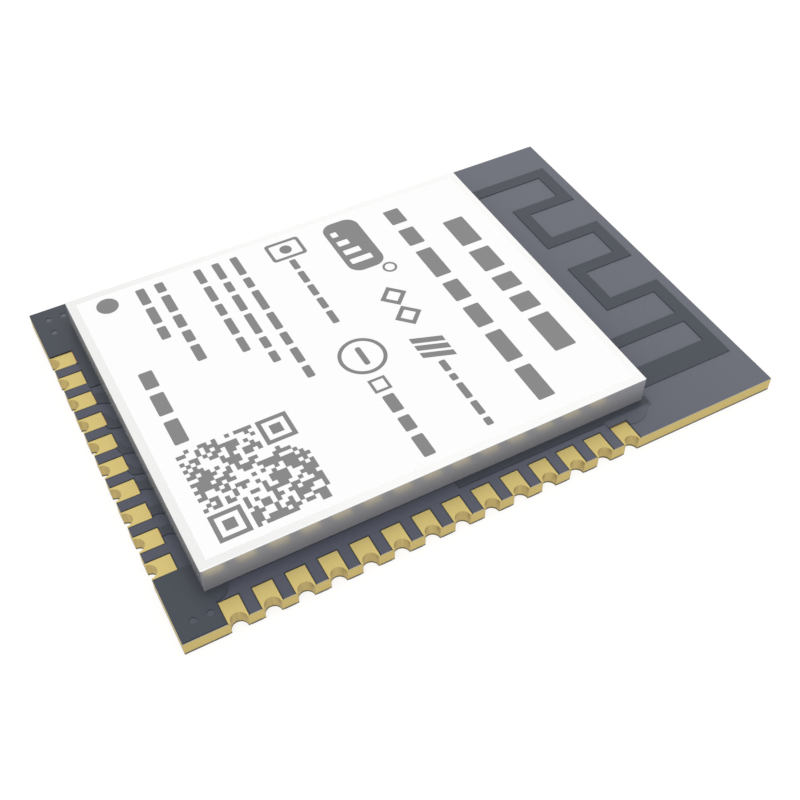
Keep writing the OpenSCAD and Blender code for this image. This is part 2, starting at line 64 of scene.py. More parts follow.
# Lengths that the finishes use, in millimetres: first, how far copper lifts the mask on it
COPPER_RISE = (FIRST_HIGH.z - BOARD_HIGH.z) / MM
# Top of the mask where no copper lies below it
BARE_LEVEL = MASK_HIGH.z / MM - COPPER_RISE
# How far the dark foot of the board's sides reaches up the laminate
DARK_FOOT = 0.05
# How far from the board's sides a face still counts as sawn, and as a notch's wall
SAWN_DEPTH = 0.002
NOTCH_DEPTH = 0.36
# Where the painted shade round a pad's opening fades out, from the pad
BRIM_SHADE_FADE = (0.045, 0.075)
# Where the thick mask beside the long rows' first contacts fades in, from the can's wall, and
# how far it runs past the contact and past the can
THICK_FADE = (0.26, 0.34)
PAST_CONTACT = 0.1
PAST_CAN = 0.7


def colour(hex_code):
    """The linear colour of a display colour written as six hexadecimal digits."""
    parts = [int(hex_code[i:i + 2], 16) / 255 for i in (0, 2, 4)]
    return tuple(p / 12.92 if p <= 0.04045 else ((p + 0.055) / 1.055) ** 2.4 for p in parts)


# ---- Sizes and colours that a user may change ------------------------------------------


def colour_property(name, description, hex_code):
    return FloatVectorProperty(
        name=name, description=description, default=colour(hex_code),
        subtype="COLOR", size=3, min=0, max=1)


def length_property(name, description, millimetres):
    return FloatProperty(
        name=name, description=description, default=millimetres * MM,
        subtype="DISTANCE", unit="LENGTH", min=0, precision=5)


class BoardFinish(bpy.types.PropertyGroup):
    """Colours of the board, its solder mask and its plating"""

    # Painted sheen and shade: the bare mask runs from the paler colour at the antenna end to the
    # darker one towards the front; the paler one also colours the thin mask in the dimples
    mask_sheen_and_thin: colour_property(
        "Mask at the antenna", "Solder mask over laminate with no copper below", "60636e")
    mask: colour_property(
        "Mask", "Solder mask over laminate with the ground plane below", "494d5b")
    mask_on_copper: colour_property(
        "Mask on copper", "Solder mask where copper lies below it", "383e48")
    # Painted shade: the flanks of tracks, the underside mask's sides and the brims round the pads
    # take this dark colour
    mask_flank_shade: colour_property(
        "Mask flank", "Thin solder mask on the flanks of a track", "2a2f36")
    # Painted highlight: the mask's sawn sides along the board's rim are painted pale
    mask_rim_highlight: colour_property(
        "Sawn mask", "Pale sawn edge of the solder mask along the board's rim", "a8a28b")
    mask_below: colour_property(
        "Underside mask", "Solder mask of the underside", "454a54")
    laminate: colour_property(
        "Laminate", "Sawn edge of the glass-fibre laminate", "c4ae66")
    # Painted shade: the laminate's level faces, seen only in the narrow mask gaps, are painted dark;
    # this colour also gives the dark foot of the sides
    laminate_gap_shade_and_foot: colour_property(
        "Laminate face", "Treated face of the laminate, bare in the narrow mask gaps", "3b3a35")
    gold: colour_property(
        "Gold", "Satin gold of the contacts and the ground pad", "dac67f")
    # Painted shade: the notches' walls are painted duller than the gold tops
    gold_notch_shade: colour_property(
        "Gold in notches", "Thinner, duller gold on the wall of a contact's notch", "bfab70")
    # Painted shade: the pads' flanks and the foot of the notches' walls are painted dark
    pad_flank_shade: colour_property(
        "Pad flank", "Etched flank of a pad, dark beside its mask opening", "4a4538")
    copper: colour_property(
        "Copper", "Etched copper below the mask", "b87f4a")
    weave: length_property(
        "Weave", "Distance between two threads of the glass cloth", 0.42)
    # Painted shade: the mask is painted darker along the can's foot, where the can keeps light off;
    # these two set its reach and strength
    foot_shade_width: length_property(
        "Haze width", "Reach of the flux haze that darkens the mask along the can's foot", 0.5)
    foot_shade: FloatProperty(
        name="Haze", description="How much the flux haze darkens the mask",
        default=0.3, min=0, max=1)


class CanFinish(bpy.types.PropertyGroup):
    """Colours and texture of the shield can and of what it covers"""

    sheet: colour_property(
        "Sheet", "Satin nickel-silver sheet of the can's top", "f2f2f1")
    # Painted shade: the walls are painted greyer than the top
    wall: colour_property(
        "Wall", "Duller sheet on the can's drawn walls", "b8b8bc")
    solder: colour_property(
        "Solder", "Solder along the can's foot", "a9abb0")
    grain: length_property(
        "Grain", "Distance between two rolling lines of the sheet", 0.09)


class LabelLayout(bpy.types.PropertyGroup):
    """Sizes and colours of the label printed on the can"""

    inset: length_property(
        "Inset", "Bare sheet left round the white field", 0.365)
    field_thickness: length_property(
        "Field thickness", "Thickness of the white field", 0.012)
    ink_thickness: length_property(
        "Ink thickness", "Thickness of the grey ink on the field", 0.006)
    corner: length_property(
        "Bar corner", "Corner radius of the printed bars", 0.07)
    field: colour_property(
        "Field", "White ground of the label", "fcfcfc")
    ink: colour_property(
        "Ink", "Grey ink of the label", "838383")
    cells: IntProperty(
        name="Cells", description="Cells along each side of the block pattern",
        default=25, min=5, max=60)
    seed: IntProperty(
        name="Seed", description="Seed of the bar lengths and the block pattern",
        default=7, min=0)


class StudioSetup(bpy.types.PropertyGroup):
    """Camera and light"""

    camera_place: FloatVectorProperty(
        name="Camera place", description="Where the camera stands",
        default=(29.16 * MM, -15.40 * MM, 34.31 * MM), subtype="TRANSLATION", unit="LENGTH")
    camera_target: FloatVectorProperty(
        name="Camera target", description="Point that the camera looks at",
        default=(2.82 * MM, -1.09 * MM, 0.66 * MM), subtype="TRANSLATION", unit="LENGTH")
    focal_length: FloatProperty(
        name="Focal length", description="Focal length of the camera, in millimetres",
        default=50.7, min=10, max=200)
    floor_side: length_property(
        "Floor", "Side of the square floor", 1200)
    sky: FloatProperty(
        name="Sky", description="How brightly the surroundings light the module",
        default=0.80, min=0, max=2)
    key: FloatProperty(
        name="Key light", description="Strength of the soft key light",
        default=0.95, min=0, max=10)


# ---- Node trees written as expressions -------------------------------------------------


def pick(sockets, key):
    """The socket of that place, identifier or name."""
    if isinstance(key, int):
        return sockets[key]
    named = [s for s in sockets if s.identifier == key] or [s for s in sockets if s.name == key]
    if not named:
        raise ValueError(f"no socket {key!r} among {[s.name for s in sockets]}")
    return named[0]


class Wire:
    """One value in a node tree. Arithmetic on wires adds Math nodes."""

    def __init__(self, tree, socket=None):
        self.tree = tree
        self.socket = socket

    def node(self, kind, settings=None, values=None, out=0):
        """Adds a node, sets its settings and then its sockets, and returns one or several outputs."""
        node = self.tree.nodes.new(kind)
        for name, setting in (settings or {}).items():
            if isinstance(setting, list):
                for item in setting:
                    getattr(node, name).new(*item)
            else:
                setattr(node, name, setting)
        for key, value in (values or {}).items():
            for part in value if isinstance(value, list) else [value]:
                self.feed(pick(node.inputs, key), part)
        if isinstance(out, tuple):
            return [Wire(self.tree, pick(node.outputs, key)) for key in out]
        return Wire(self.tree, pick(node.outputs, out)) if len(node.outputs) else None

    def feed(self, socket, value):
        """Links a wire to a socket, or sets the socket to a plain value."""
        if isinstance(value, Wire):
            self.tree.links.new(value.socket, socket)
        else:
            socket.default_value = value

    def maths(self, operation, a, b=0.0):
        return self.node("ShaderNodeMath", {"operation": operation}, {0: a, 1: b})

    def vector(self, operation, a, b):
        return self.node("ShaderNodeVectorMath", {"operation": operation}, {0: a, 1: b})

    def __add__(self, other):
        return self.maths("ADD", self, other)

    def __radd__(self, other):
        return self.maths("ADD", other, self)

    def __sub__(self, other):
        return self.maths("SUBTRACT", self, other)

    def __rsub__(self, other):
        return self.maths("SUBTRACT", other, self)

    def __mul__(self, other):
        return self.maths("MULTIPLY", self, other)

    def __rmul__(self, other):
        return self.maths("MULTIPLY", other, self)

    def __truediv__(self, other):
        return self.maths("DIVIDE", self, other)

    def __gt__(self, other):
        return self.maths("GREATER_THAN", self, other)

    def __lt__(self, other):
        return self.maths("LESS_THAN", self, other)

    def __abs__(self):
        return self.maths("ABSOLUTE", self)


# ---- Finishes --------------------------------------------------------------------------


class Finish:
    """A material in the making: its shader and the wires that the finishes share."""

    def __init__(self, name, **fixed):
        self.material = bpy.data.materials.new(name)
        self.material.use_nodes = True
        tree = self.material.node_tree
        self.shader = tree.nodes["Principled BSDF"]
        self.wire = Wire(tree)
        for socket, value in fixed.items():
            self.set(socket.replace("_", " "), value)

    def set(self, socket, value):
        """Feeds one of the shader's sockets."""
        if not isinstance(value, (Wire, float)) and len(value) == 3:
            value = (*value, 1)
        self.wire.feed(pick(self.shader.inputs, socket), value)

    def place(self):
        """Where a point is, in millimetres."""
        spot = self.wire.node("ShaderNodeTexCoord", out="Object")
        return self.wire.node(
            "ShaderNodeVectorMath", {"operation": "SCALE"}, {"Vector": spot, "Scale": 1 / MM})

    def split(self, vector):
        return self.wire.node("ShaderNodeSeparateXYZ", None, {0: vector}, ("X", "Y", "Z"))

    def upright(self):
        """1 on a wall and 0 on a level face."""
        normal = self.wire.node("ShaderNodeNewGeometry", out="Normal")
        return abs(self.split(normal)[2]) < 0.5

    def noise(self, spacing, stretch=(1, 1, 1), detail=2.0, roughness=0.5):
        """Noise whose lumps are about that many millimetres apart, drawn out along the axes."""
        scaled = self.wire.vector("DIVIDE", self.place(), stretch)
        return self.wire.node(
            "ShaderNodeTexNoise", None,
            {"Vector": scaled, "Scale": 1 / spacing, "Detail": detail, "Roughness": roughness},
            "Fac")

    def ease(self, value, low, high):
        """0 below one value, 1 above another and a smooth step between them."""
        return self.wire.node(
            "ShaderNodeMapRange", {"interpolation_type": "SMOOTHSTEP"},
            {"Value": value, "From Min": low, "From Max": high})

    def blend(self, share, first, second):
        """The first colour where share is 0 and the second where it is 1."""
        first, second = (
            c if isinstance(c, Wire) else (*c, 1) for c in (first, second))
        return self.wire.node(
            "ShaderNodeMix", {"data_type": "RGBA"},
            {"Factor_Float": share, "A_Color": first, "B_Color": second}, "Result_Color")

    def tinted(self, base, lightness):
        """A colour whose brightness follows a wire that runs about 1."""
        if not isinstance(base, Wire):
            base = self.wire.node("ShaderNodeCombineXYZ", None, dict(enumerate(base)))
        return self.wire.node(
            "ShaderNodeVectorMath", {"operation": "SCALE"},
            {"Vector": base, "Scale": lightness})

    def relief(self, height, depth):
        """Bumps the surface by that many millimetres where height is 1."""
        self.set("Normal", self.wire.node(
            "ShaderNodeBump", None, {"Height": height, "Distance": depth * MM, "Strength": 1.0}))


def weave(finish, pitch):
    """The glass cloth below a coat: threads that cross over and under each other."""
    x, y = finish.split(finish.place())[:2]
    turn = 2 * math.pi / pitch
    warp = finish.wire.maths("SINE", x * turn)
    weft = finish.wire.maths("SINE", y * turn)
    return warp * weft * 0.5 + 0.5


def can_distance(finish):
    """How far a point of the board is from the can's wall, in millimetres."""
    middle = tuple(c / MM for c in CAN_MIDDLE)
    half = tuple(c / MM / 2 for c in CAN_HIGH - CAN_LOW)
    x, y = finish.split(finish.wire.vector("SUBTRACT", finish.place(), middle))[:2]
    outside_x = finish.wire.maths("MAXIMUM", abs(x) - half[0], 0.0)
    outside_y = finish.wire.maths("MAXIMUM", abs(y) - half[1], 0.0)
    return finish.wire.maths("SQRT", outside_x * outside_x + outside_y * outside_y)


def at_foot(z):
    """Share of the dark tone along the foot of the board's sides."""
    return (z < BOARD_LOW.z / MM + DARK_FOOT) * 0.8


def near_rim(x, y, depth):
    """1 within that many millimetres of the board's sawn sides, and 0 further in."""
    side = abs(x) > BOARD_HIGH.x / MM - depth
    end = abs(y) > BOARD_HIGH.y / MM - depth
    return side.maths("MAXIMUM", side, end)


def beside_row(along, across, axis, names):
    """How far a point is outside the nearest pad of a row of contacts, in millimetres. The row
    runs along that axis, and its names are its first contact, the second and the last."""
    boxes = [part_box(name) for name in names]
    first, second, last = ((low[axis] + high[axis]) / 2 / MM for low, high in boxes)
    pitch = second - first
    low, high = boxes[0]
    half = (high[axis] - low[axis]) / 2 / MM
    inner = min(abs(low[1 - axis]), abs(high[1 - axis])) / MM
    step = (along - first) / pitch
    nearest = step.maths("MAXIMUM", step.maths("ROUND", step), 0.0)
    nearest = step.maths("MINIMUM", nearest, (last - first) / pitch)
    sideways = abs(step - nearest) * pitch - half
    return step.maths("MAXIMUM", sideways, inner - across)


def mask_finish(board):
    """Solder mask: palest over laminate, darker over copper, and painted darkest on the flanks of
    tracks as shade.
    """
    finish = Finish("solder_mask", IOR=1.5)
    x, y, z = finish.split(finish.place())
    ridge = z - BARE_LEVEL
    # Painted sheen and shade: the mask is painted paler towards the antenna end and darker towards
    # the front
    reach = BOARD_HIGH.y / MM
    bare = finish.blend(
        finish.ease(y - x * 0.35, reach * -0.7, reach), board.mask, board.mask_sheen_and_thin)
    on_copper = ridge > COPPER_RISE * 0.1
    tone = finish.blend(on_copper, bare, board.mask_on_copper)
    # In the dimples over the vias the mask is thin and paler, most on the first contacts' side
    thin = on_copper * (ridge < COPPER_RISE * 0.86) * (0.35 + (x < 0) * 0.5)
    tone = finish.blend(thin, tone, board.mask_sheen_and_thin)
    # Beside the long rows' first contacts it lies thick and hides most of the copper
    apart = can_distance(finish)
    along = (y > FIRST_LOW.y / MM - PAST_CONTACT) * (y < CAN_HIGH.y / MM + PAST_CAN)
    thick = finish.ease(apart, *THICK_FADE) * (abs(x) > CAN_HIGH.x / MM) * along
    tone = finish.blend(thick * 0.75, tone, bare)
    rim = near_rim(x, y, SAWN_DEPTH)
    flank = finish.upright()
    # The flanks of tracks are painted dark as shade
    tone = finish.blend(flank * (1 - rim) * (1 - thick), tone, board.mask_flank_shade)
    # The mask's sawn sides are painted pale as a highlight
    tone = finish.blend(flank * rim, tone, board.mask_rim_highlight)
    # Round a pad's opening the mask is painted with a dark line, painted shade at the edge of the
    # opening
    side = beside_row(y, abs(x), 1, SIDE_ROW)
    end = beside_row(x, 0 - y, 0, END_ROW)
    brim_shade = 1 - finish.ease(side.maths("MINIMUM", side, end), *BRIM_SHADE_FADE)
    tone = finish.blend(brim_shade * (1 - rim) * 0.7, tone, board.mask_flank_shade)
    cloth = weave(finish, board.weave / MM)
    speck = finish.noise(0.05, detail=3.0)
    lightness = 0.96 + finish.noise(3.0) * 0.05 + cloth * 0.015 + speck * 0.03
    # Painted shade along the can's foot, darkest at the wall
    in_foot_shade = 1 - finish.ease(apart, 0.0, board.foot_shade_width / MM)
    finish.set("Base Color", finish.tinted(tone, lightness * (1 - board.foot_shade * in_foot_shade)))
    finish.set("Roughness", 0.36 + finish.noise(0.6) * 0.08)
    finish.relief(cloth * 0.7 + speck * 0.5, 0.0012)
    return finish.material


def under_mask_finish(board):
    """Solder mask of the underside."""
    finish = Finish("under_mask", IOR=1.5)
    cloth = weave(finish, board.weave / MM)
    speck = finish.noise(0.05, detail=3.0)
    # The underside mask's sides are painted dark as shade
    tone = finish.blend(finish.upright(), board.mask_below, board.mask_flank_shade)
    finish.set("Base Color", finish.tinted(
        tone, 0.95 + cloth * 0.03 + finish.noise(3.0) * 0.07))
    finish.set("Roughness", 0.36 + finish.noise(0.6) * 0.08)
    finish.relief(cloth * 0.7 + speck * 0.5, 0.0012)
    return finish.material


def laminate_finish(board):
    """Pressed layers of glass cloth in tan resin, seen on the sawn edges, with a dark foot."""
    finish = Finish("laminate", IOR=1.5)
    z = finish.split(finish.place())[2]
    layers = finish.noise(0.05, stretch=(9, 9, 1), detail=3.0)
    fibres = finish.noise(0.03, stretch=(1, 1, 2), detail=2.0)
    # The sides are dark at the foot, and the level faces are painted dark as shade in the mask gaps
    tone = finish.blend(at_foot(z), board.laminate, board.laminate_gap_shade_and_foot)
    tone = finish.blend(finish.upright(), board.laminate_gap_shade_and_foot, tone)
    finish.set("Base Color", finish.tinted(tone, 0.90 + layers * 0.12 + fibres * 0.08))
    finish.set("Roughness", 0.55 + fibres * 0.15)
    finish.relief(layers * 0.6 + fibres * 0.4, 0.003)
    return finish.material


def gold_finish(board):
    """Satin gold plating: a fine crystalline grain with faint drawn lines."""
    finish = Finish("gold_plating", Metallic=1.0)
    grain = finish.noise(0.035, detail=4.0)
    cloud = finish.noise(0.7, detail=2.0)
    streak = finish.noise(0.12, stretch=(1, 1, 12), detail=2.0)
    x, y, z = finish.split(finish.place())
    wall = finish.upright()
    # Painted shade on the walls: duller gold in the notches, and dark on the pads' flanks and along
    # the foot
    inside = near_rim(x, y, NOTCH_DEPTH) * (1 - at_foot(z))
    tone = finish.blend(inside, board.pad_flank_shade, board.gold_notch_shade)
    tone = finish.blend(wall, board.gold, tone)
    lightness = 0.95 + cloud * 0.06 + grain * 0.04 + wall * (streak - 0.5) * 0.5
    finish.set("Base Color", finish.tinted(tone, lightness))
    finish.set("Roughness", 0.34 + cloud * 0.08 + grain * 0.06 + wall * 0.1)
    finish.relief(grain, 0.0010)
    return finish.material


def copper_finish(board):
    """Etched copper, slightly roughened so that the mask holds on it."""
    finish = Finish("copper", Metallic=1.0)
    grain = finish.noise(0.02, detail=4.0)
    finish.set("Base Color", finish.tinted(board.copper, 0.9 + grain * 0.2))
    finish.set("Roughness", 0.4 + grain * 0.15)
    finish.relief(grain, 0.001)
    return finish.material


def sheet_finish(can):
    """Rolled nickel-silver sheet: fine lines along the can and a soft, uneven sheen."""
    finish = Finish("shield_sheet")
    grain = finish.noise(can.grain / MM, stretch=(1, 30, 1), detail=3.0)
    cloud = finish.noise(2.5, detail=2.0)
    wall = finish.upright()
    y, z = finish.split(finish.place())[1:]
    # Painted sheen and shade: the top is painted lighter towards the antenna, and the walls are
    # painted darker towards their foot
    far_sheen = finish.ease(y, CAN_LOW.y / MM, CAN_MIDDLE.y / MM) * 0.09
    high = finish.ease(z, CAN_LOW.z / MM, CAN_HIGH.z / MM) * 0.24 - 0.14
    # The walls are painted greyer than the top: painted shade
    tone = finish.blend(wall, can.sheet, can.wall)
    lightness = 0.97 + grain * 0.01 + cloud * 0.02 + (1 - wall) * far_sheen + wall * high
    finish.set("Base Color", finish.tinted(tone, lightness))
    finish.set("Metallic", 0.93 - wall * 0.38)
    finish.set("Roughness", 0.24 + cloud * 0.05)
    finish.relief(grain * (1 - wall), 0.0003)
    return finish.material


def solder_finish(can):
    """Solder that froze with a slightly wrinkled skin."""
    finish = Finish("solder", Metallic=1.0)
    wrinkle = finish.noise(0.12, detail=4.0)
    finish.set("Base Color", finish.tinted(can.solder, 0.88 + wrinkle * 0.2))
    finish.set("Roughness", 0.3 + wrinkle * 0.2)
    finish.relief(wrinkle, 0.004)
    return finish.material


def moulded_finish():
    """Black moulding compound with fine filler specks."""
    finish = Finish("chip_epoxy", IOR=1.5)
    speck = finish.noise(0.04, detail=3.0)
    finish.set("Base Color", finish.tinted(colour("2b2c2f"), 0.85 + speck * 0.3))
    finish.set("Roughness", 0.55 + speck * 0.2)
    finish.relief(speck, 0.004)
    return finish.material


def fired_finish(name, hex_code, roughness):
    """A fired ceramic or a glaze, with a fine grain and faint clouds."""
    finish = Finish(name, IOR=1.6)
    grain = finish.noise(0.03, detail=3.0)
    cloud = finish.noise(0.3, detail=2.0)
    finish.set("Base Color", finish.tinted(
        colour(hex_code), 0.86 + grain * 0.16 + cloud * 0.12))
    finish.set("Roughness", roughness + grain * 0.12)
    finish.relief(grain, 0.0015)
    return finish.material


def plated_finish(name, hex_code, roughness):
    """A matte plated metal with a fine grain."""
    finish = Finish(name, Metallic=1.0)
    grain = finish.noise(0.03, detail=4.0)
    finish.set("Base Color", finish.tinted(colour(hex_code), 0.92 + grain * 0.16))
    finish.set("Roughness", roughness + grain * 0.12)
    finish.relief(grain, 0.001)
    return finish.material


def ink_finish(name, base):
    """Screen-printed ink: almost flat, with the faint mottle of the screen."""
    finish = Finish(name, IOR=1.45)
    mottle = finish.noise(0.08, detail=3.0)
    finish.set("Base Color", finish.tinted(base, 0.98 + mottle * 0.03))
    finish.set("Roughness", 0.5 + mottle * 0.1)
    finish.relief(mottle, 0.0008)
    return finish.material


def dress(material, *nodes):
    """Gives a finish to whole CAD nodes."""
    for name in nodes:
        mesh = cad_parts[name].data
        mesh.materials.clear()
        mesh.materials.append(material)


# ---- Pieces that the scene adds --------------------------------------------------------


def new_piece(name, mesh, material):
    """A finished mesh becomes a piece that moves with the module."""
    piece = bpy.data.objects.new(name, mesh)
    bpy.context.scene.collection.objects.link(piece)
    mesh.materials.clear()
    mesh.materials.append(material)
    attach(piece, BODY)
    return piece


def rectangle(middle, width, length, corner=0.0, steps=6):
    """The outline of a rectangle about its middle, with round corners where corner is given."""
    x, y = middle
    outline = []
    for quarter, (sx, sy) in enumerate([(1, 1), (-1, 1), (-1, -1), (1, -1)]):
        hub = (x + sx * (width / 2 - corner), y + sy * (length / 2 - corner))
        for step in range(steps + 1 if corner else 1):
            turn = math.pi / 2 * (quarter + step / steps)
            outline.append((hub[0] + corner * math.cos(turn), hub[1] + corner * math.sin(turn)))
    return outline


def polygon(middle, radius, sides, turn=0.0):
    """The outline of a regular polygon; with many sides, of a disc."""
    return [
        (middle[0] + radius * math.cos(turn + 2 * math.pi * i / sides),
         middle[1] + radius * math.sin(turn + 2 * math.pi * i / sides))
        for i in range(sides)]


def slab_mesh(name, shapes, low, high):
    """Flat plates between two levels. Each shape is its rim and then its holes, in millimetres."""
    mesh = bpy.data.meshes.new(name)
    sheet = bmesh.new()
    for loops in shapes:
        edges = []
        for loop in loops:
            corners = [sheet.verts.new((x * MM, y * MM, low)) for x, y in loop]
            edges += [sheet.edges.new(ends) for ends in zip(corners, corners[1:] + corners[:1])]
        filled = bmesh.ops.triangle_fill(sheet, use_beauty=True, edges=edges)["geom"]
        faces = [part for part in filled if isinstance(part, bmesh.types.BMFace)]
        raised = bmesh.ops.extrude_face_region(sheet, geom=faces)["geom"]
        upper = [part for part in raised if isinstance(part, bmesh.types.BMVert)]
        bmesh.ops.translate(sheet, vec=(0, 0, high - low), verts=upper)
    bmesh.ops.recalc_face_normals(sheet, faces=sheet.faces)
    sheet.to_mesh(mesh)
    sheet.free()
    return mesh


def new_tree(name, inputs):
    """A geometry tree with named inputs, and a wire for each of them."""
    tree = bpy.data.node_groups.new(name, "GeometryNodeTree")
    for label, kind in inputs.items():
        tree.interface.new_socket(label, in_out="INPUT", socket_type=f"NodeSocket{kind}")
    tree.interface.new_socket("Geometry", in_out="OUTPUT", socket_type="NodeSocketGeometry")
    given = Wire(tree).node("NodeGroupInput", out=tuple(inputs))
    return tree, dict(zip(inputs, given))


def close_tree(tree, geometry):
    """Links the tree's result to its output."""
    Wire(tree).node("NodeGroupOutput", None, {"Geometry": geometry})


def grown_mesh(name, tree, values):
    """Runs a geometry tree and returns its result as a plain mesh."""
    carrier = bpy.data.objects.new(name, bpy.data.meshes.new(name))
    bpy.context.scene.collection.objects.link(carrier)
    modifier = carrier.modifiers.new("Pattern", "NODES")
    modifier.node_group = tree
    for item in tree.interface.items_tree:
        if item.in_out == "INPUT":
            modifier[item.identifier] = values[item.name]
    evaluated = carrier.evaluated_get(bpy.context.evaluated_depsgraph_get())
    mesh = bpy.data.meshes.new_from_object(evaluated)
    carrier.modifiers.clear()
    bpy.data.objects.remove(carrier)
    mesh.name = name
    return mesh


# Sizes that a line of print takes, and how many sides a bar's round corners have in all
BAR_INPUTS = {
    "Start": "Vector", "Length": "Float", "Height": "Float", "Bars": "Int", "Gap": "Float",
    "Corner": "Float", "Thickness": "Float", "Seed": "Int"}
CORNER_SIDES = 16


def bar_row_tree():
    """One line of print: a row of round-cornered bars of uneven length that fill the line."""
    tree, given = new_tree("Bar row", BAR_INPUTS)
    wire = Wire(tree)
    index = wire.node("GeometryNodeInputIndex")
    weight = wire.node(
        "FunctionNodeRandomValue", {"data_type": "FLOAT"},
        {"Min_001": 0.6, "Max_001": 1.5, "Seed": given["Seed"]}, "Value_001")
    points = wire.node("GeometryNodePoints", None, {"Count": given["Bars"]})
    before, total = wire.node(
        "GeometryNodeAccumulateField", {"data_type": "FLOAT"}, {"Value": weight},
        ("Trailing", "Total"))
    share = (given["Length"] - (given["Bars"] - 1) * given["Gap"]) / total
    width = weight * share
    across = before * share + index * given["Gap"] + width / 2
    shift = wire.node("ShaderNodeCombineXYZ", None, {"X": across})
    points, bar_width = wire.node(
        "GeometryNodeCaptureAttribute", {"capture_items": [("FLOAT", "Width")]},
        {"Geometry": points, "Width": width}, ("Geometry", "Width"))
    points = wire.node(
        "GeometryNodeSetPosition", None,
        {"Geometry": points, "Position": wire.vector("ADD", given["Start"], shift)})
    puck = wire.node(
        "GeometryNodeMeshCylinder", {"fill_type": "NGON"},
        {"Vertices": CORNER_SIDES, "Radius": given["Corner"], "Depth": given["Thickness"]})
    puck = wire.node(
        "GeometryNodeTransform", None,
        {"Geometry": puck, "Rotation": (0, 0, math.pi / CORNER_SIDES)})
    puck, local = wire.node(
        "GeometryNodeCaptureAttribute", {"capture_items": [("VECTOR", "Local")]},
        {"Geometry": puck, "Local": wire.node("GeometryNodeInputPosition")},
        ("Geometry", "Local"))
    pucks = wire.node("GeometryNodeInstanceOnPoints", None, {"Points": points, "Instance": puck})
    bars = wire.node("GeometryNodeRealizeInstances", None, {"Geometry": pucks})
    x, y = wire.node("ShaderNodeSeparateXYZ", None, {0: local}, ("X", "Y"))
    stretch = wire.node("ShaderNodeCombineXYZ", None, {
        "X": wire.maths("SIGN", x) * (bar_width / 2 - given["Corner"]),
        "Y": wire.maths("SIGN", y) * (given["Height"] / 2 - given["Corner"]),
        "Z": given["Thickness"] / 2})
    bars = wire.node("GeometryNodeSetPosition", None, {"Geometry": bars, "Offset": stretch})
    close_tree(tree, bars)
    return tree


def page_tree(rows):
    """All printed lines: one bar row for each, joined, realized and inked."""
    tree, given = new_tree("Printed page", {
        "Middle": "Vector", "Corner": "Float", "Thickness": "Float", "Seed": "Int",
        "Ink": "Material"})
    wire = Wire(tree)
    row_tree = bar_row_tree()
    printed = []
    for number, row in enumerate(rows):
        start = wire.vector("ADD", given["Middle"], (row.left * MM, row.middle * MM, 0))
        printed.append(wire.node("GeometryNodeGroup", {"node_tree": row_tree}, {
            "Start": start, "Length": row.length * MM, "Height": row.height * MM,
            "Bars": row.bars, "Gap": row.gap * MM, "Corner": given["Corner"],
            "Thickness": given["Thickness"], "Seed": given["Seed"] + number}))
    page = wire.node("GeometryNodeJoinGeometry", None, {"Geometry": printed})
    page = wire.node("GeometryNodeRealizeInstances", None, {"Geometry": page})
    close_tree(tree, wire.node(
        "GeometryNodeSetMaterial", None, {"Geometry": page, "Material": given["Ink"]}))
    return tree


def block_tree():
    """A square of cells, some of them inked, that stand up from the field as one relief."""
    tree, given = new_tree("Block pattern", {
        "Middle": "Vector", "Side": "Float", "Cells": "Int", "Corner cells": "Int",
        "Share": "Float", "Thickness": "Float", "Seed": "Int", "Ink": "Material"})
    wire = Wire(tree)
    grid = wire.node("GeometryNodeMeshGrid", None, {
        "Size X": given["Side"], "Size Y": given["Side"],
        "Vertices X": given["Cells"] + 1, "Vertices Y": given["Cells"] + 1})
    place = wire.node("GeometryNodeInputPosition")
    x, y = wire.node("ShaderNodeSeparateXYZ", None, {0: place}, ("X", "Y"))
    cell = given["Side"] / given["Cells"]
    reach = given["Side"] / 2 - given["Corner cells"] * cell
    # The two opposite corners stay clear for the hollow squares
    first = (x < 0 - reach) * (y > reach)
    second = (x > reach) * (y < 0 - reach)
    inked = wire.node(
        "FunctionNodeRandomValue", {"data_type": "BOOLEAN"},
        {"Probability": given["Share"], "Seed": given["Seed"]}, "Value_003")
    bare = 1 - inked * (1 - first) * (1 - second)
    cells = wire.node(
        "GeometryNodeDeleteGeometry", {"domain": "FACE"}, {"Geometry": grid, "Selection": bare})
    raised = wire.node("GeometryNodeExtrudeMesh", None, {
        "Mesh": cells, "Offset": (0, 0, 1), "Offset Scale": given["Thickness"],
        "Individual": False})
    under = wire.node("GeometryNodeFlipFaces", None, {"Mesh": cells})
    closed = wire.node("GeometryNodeJoinGeometry", None, {"Geometry": [raised, under]})
    closed = wire.node(
        "GeometryNodeMergeByDistance", None, {"Geometry": closed, "Distance": 1e-7})
    closed = wire.node(
        "GeometryNodeTransform", None, {"Geometry": closed, "Translation": given["Middle"]})
    closed = wire.node("GeometryNodeRealizeInstances", None, {"Geometry": closed})
    close_tree(tree, wire.node(
        "GeometryNodeSetMaterial", None, {"Geometry": closed, "Material": given["Ink"]}))
    return tree


# ---- The label's layout ----------------------------------------------------------------


class Row:
    """A printed line, in millimetres from the can's middle: its left end, middle height and size."""

    def __init__(self, left, middle, length, height, bars, gap):
        self.left, self.middle = left, middle
        self.length, self.height = length, height
        self.bars, self.gap = bars, gap


